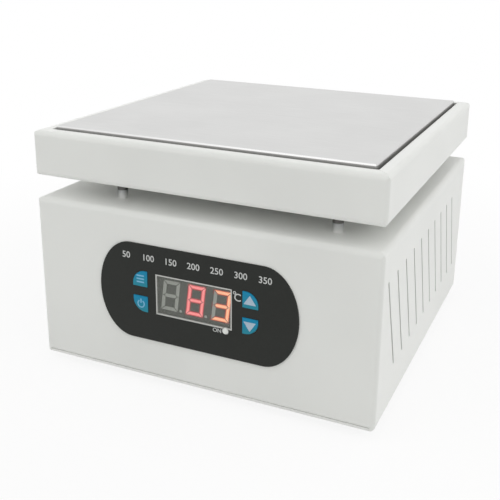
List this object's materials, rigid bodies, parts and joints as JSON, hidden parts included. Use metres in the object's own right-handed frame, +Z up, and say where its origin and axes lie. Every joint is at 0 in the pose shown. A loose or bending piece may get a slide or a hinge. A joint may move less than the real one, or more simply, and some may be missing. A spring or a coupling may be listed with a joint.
{
  "type": "pcb preheater",
  "caption": "Bench preheater with a square heated plate in a white sheet-metal tray, on posts over a slotted control body with a display, keys, rear power inlet and rocker switch.",
  "frame": {"origin": "middle of the square footprint, on the floor under the feet", "axes": "+X to the right seen from the front, +Y to the back, +Z up"},
  "size_m": [0.22, 0.2251, 0.1539],
  "materials": {
    "white_powder": "white powder coat, satin, very fine texture",
    "plate_aluminium": "flat ground aluminium, fine brushed grain",
    "mica": "pressed mica sheet, satin flecks",
    "plain_steel": "zinc-plated steel, satin",
    "stud_brass": "turned brass, satin",
    "wool": "ceramic fibre felt, matt",
    "black_rubber": "black rubber, matt",
    "film_black": "printed polyester film, satin gloss",
    "key_blue": "printed blue film key, satin gloss",
    "bezel_grey": "light grey printed line",
    "window_clear": "clear hard-coated window, gloss",
    "display_grey": "grey display face, matt",
    "segment_lit": "lit red-orange segments",
    "segment_off": "unlit pale grey segments",
    "lamp_white": "white diffused lamp lens, gloss",
    "switch_black": "black moulded nylon, fine grain",
    "board_green": "green solder mask, satin",
    "core_iron": "varnished iron laminations",
    "copper_wire": "enamelled copper winding with clear tape",
    "sink_black": "black anodised aluminium",
    "sleeve_blue": "dark blue shrink sleeve",
    "block_green": "green moulded block",
    "fuse_glass": "glass fuse tube with plated caps",
    "white_silicone": "silicone lead insulation, satin",
    "brown_lead": "brown lead insulation, satin",
    "green_lead": "green-yellow lead insulation, satin",
    "glass_sleeve": "woven glass-fibre sleeve, matt"
  },
  "bodies": {
    "base": {"heating_plate": "plate_aluminium", "mica_heater": "mica", "clamp_plate": "plain_steel", "clamp_screws": "plain_steel", "heater_terminals": "stud_brass", "thermocouple": "plain_steel", "insulation_blanket": "wool", "tray_shroud": "white_powder", "tray_pan": "white_powder", "tray_rivets": "plain_steel", "plate_spacers": "plain_steel", "support_posts": "plain_steel", "post_screws": "plain_steel", "lead_sleeve": "glass_sleeve", "deck_grommet": "black_rubber", "pan_grommet": "black_rubber", "body_housing": "white_powder", "bottom_plate": "white_powder", "bottom_screws": "plain_steel", "rubber_feet": "black_rubber", "foot_fasteners": "plain_steel", "panel_overlay": "film_black", "window_bezel": "bezel_grey", "display_window": "window_clear", "display_module": "display_grey", "segments_lit": "segment_lit", "segments_unlit": "segment_off", "output_led": "lamp_white", "tact_bases": "plain_steel", "control_board": "board_green", "board_standoffs": "stud_brass", "board_screws": "plain_steel", "controller_chip": "switch_black", "transformer_core": "core_iron", "transformer_winding": "copper_wire", "triac": "switch_black", "heat_sink": "sink_black", "filter_capacitor": "sleeve_blue", "terminal_block": "block_green", "glass_fuse": "fuse_glass", "fuse_clips": "plain_steel", "iec_inlet": "switch_black", "inlet_pins": "plain_steel", "inlet_fasteners": "plain_steel", "switch_body": "switch_black", "switch_terminals": "plain_steel", "heater_leads": "white_silicone", "sensor_lead": "white_silicone", "mains_leads": "brown_lead", "earth_lead": "green_lead", "earth_stud": "stud_brass"},
    "set_key": {"set_key": "key_blue", "set_plunger": "switch_black"},
    "out_key": {"out_key": "key_blue", "out_plunger": "switch_black"},
    "up_key": {"up_key": "key_blue", "up_plunger": "switch_black"},
    "down_key": {"down_key": "key_blue", "down_plunger": "switch_black"},
    "rocker": {"switch_rocker": "switch_black"}
  },
  "joints": [
    {"name": "set_press", "type": "slide", "parent": "base", "child": "set_key", "axis": [0, 1, 0], "range_m": [0, 0.0004], "stiffness_N_per_m": 4000},
    {"name": "out_press", "type": "slide", "parent": "base", "child": "out_key", "axis": [0, 1, 0], "range_m": [0, 0.0004], "stiffness_N_per_m": 4000},
    {"name": "up_press", "type": "slide", "parent": "base", "child": "up_key", "axis": [0, 1, 0], "range_m": [0, 0.0004], "stiffness_N_per_m": 4000},
    {"name": "down_press", "type": "slide", "parent": "base", "child": "down_key", "axis": [0, 1, 0], "range_m": [0, 0.0004], "stiffness_N_per_m": 4000},
    {"name": "power_rock", "type": "hinge", "parent": "base", "child": "rocker", "pos_m": [0.02, 0.11, 0.038], "axis": [1, 0, 0], "range_deg": [0, 20]}
  ]
}
